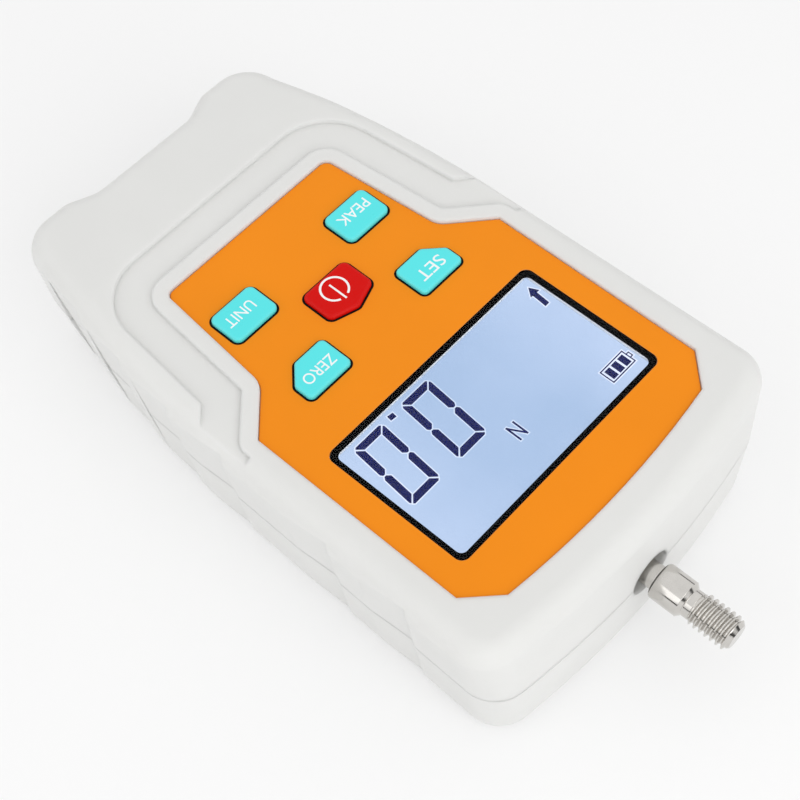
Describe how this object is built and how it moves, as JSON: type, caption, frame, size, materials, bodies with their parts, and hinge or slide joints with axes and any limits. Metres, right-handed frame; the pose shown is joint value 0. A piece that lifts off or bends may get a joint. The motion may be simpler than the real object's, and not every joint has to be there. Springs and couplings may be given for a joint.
{
  "type": "digital force gauge",
  "caption": "Handheld push-pull force gauge: white moulded housing with side grips, orange keypad face, wide display and a threaded steel measuring shaft.",
  "frame": {"origin": "on the flat back, under the middle of the overall width and of the overall length from the rear horns to the stud's tip", "axes": "+X to the reader's right, +Y along the body towards the measuring shaft, +Z out of the display face"},
  "size_m": [0.071, 0.1332, 0.0308],
  "materials": {
    "housing": "fine satin moulded, white",
    "panel": "satin printed film, orange",
    "display_black": "gloss printed border",
    "window": "clear plastic sheet",
    "lcd": "back-lit liquid crystal cell",
    "diffuser": "milky light guide",
    "holder": "moulded",
    "key_blue": "satin, turquoise",
    "key_red": "satin, red",
    "silicone": "silicone rubber",
    "board": "glass-fibre laminate with solder mask",
    "chips": "moulded packages",
    "screw_steel": "zinc-plated",
    "cell_aluminium": "machined",
    "gauge_film": "polyimide film",
    "stainless": "turned stainless steel",
    "zinc_steel": "zinc-plated sheet",
    "battery_wrap": "shrink sleeve",
    "jack_black": "moulded socket",
    "brass": "turned insert"
  },
  "bodies": {
    "housing": {"front_cover": "housing", "back_cover": "housing", "face_panel": "panel", "display_frame": "display_black", "display_window": "window", "lcd_cell": "lcd", "lcd_backlight": "diffuser", "lcd_holder": "holder", "keypad": "silicone", "main_board": "board", "board_parts": "chips", "board_screws": "screw_steel", "load_cell": "cell_aluminium", "strain_gauges": "gauge_film", "cell_bracket": "zinc_steel", "cell_bolt": "screw_steel", "bracket_screws": "screw_steel", "battery_cells": "battery_wrap", "battery_cradle": "holder", "charge_jack": "jack_black", "cover_screws": "screw_steel", "stand_inserts": "brass"},
    "key_peak": {"key_peak": "key_blue"},
    "key_unit": {"key_unit": "key_blue"},
    "key_set": {"key_set": "key_blue"},
    "key_zero": {"key_zero": "key_blue"},
    "key_power": {"key_power": "key_red"},
    "measuring_shaft": {"measuring_rod": "stainless", "thread_adapter": "stainless"}
  },
  "joints": [
    {"name": "key_peak_press", "type": "slide", "parent": "housing", "child": "key_peak", "axis": [0, 0, -1], "range_m": [0, 0.0008], "stiffness_N_per_m": 1500},
    {"name": "key_unit_press", "type": "slide", "parent": "housing", "child": "key_unit", "axis": [0, 0, -1], "range_m": [0, 0.0008], "stiffness_N_per_m": 1500},
    {"name": "key_set_press", "type": "slide", "parent": "housing", "child": "key_set", "axis": [0, 0, -1], "range_m": [0, 0.0008], "stiffness_N_per_m": 1500},
    {"name": "key_zero_press", "type": "slide", "parent": "housing", "child": "key_zero", "axis": [0, 0, -1], "range_m": [0, 0.0008], "stiffness_N_per_m": 1500},
    {"name": "key_power_press", "type": "slide", "parent": "housing", "child": "key_power", "axis": [0, 0, -1], "range_m": [0, 0.0008], "stiffness_N_per_m": 1500},
    {"name": "measuring_slide", "type": "slide", "parent": "housing", "child": "measuring_shaft", "axis": [0, 1, 0], "range_m": [-0.00025, 0.00025], "stiffness_N_per_m": 400000, "deforming": ["load_cell"]}
  ]
}
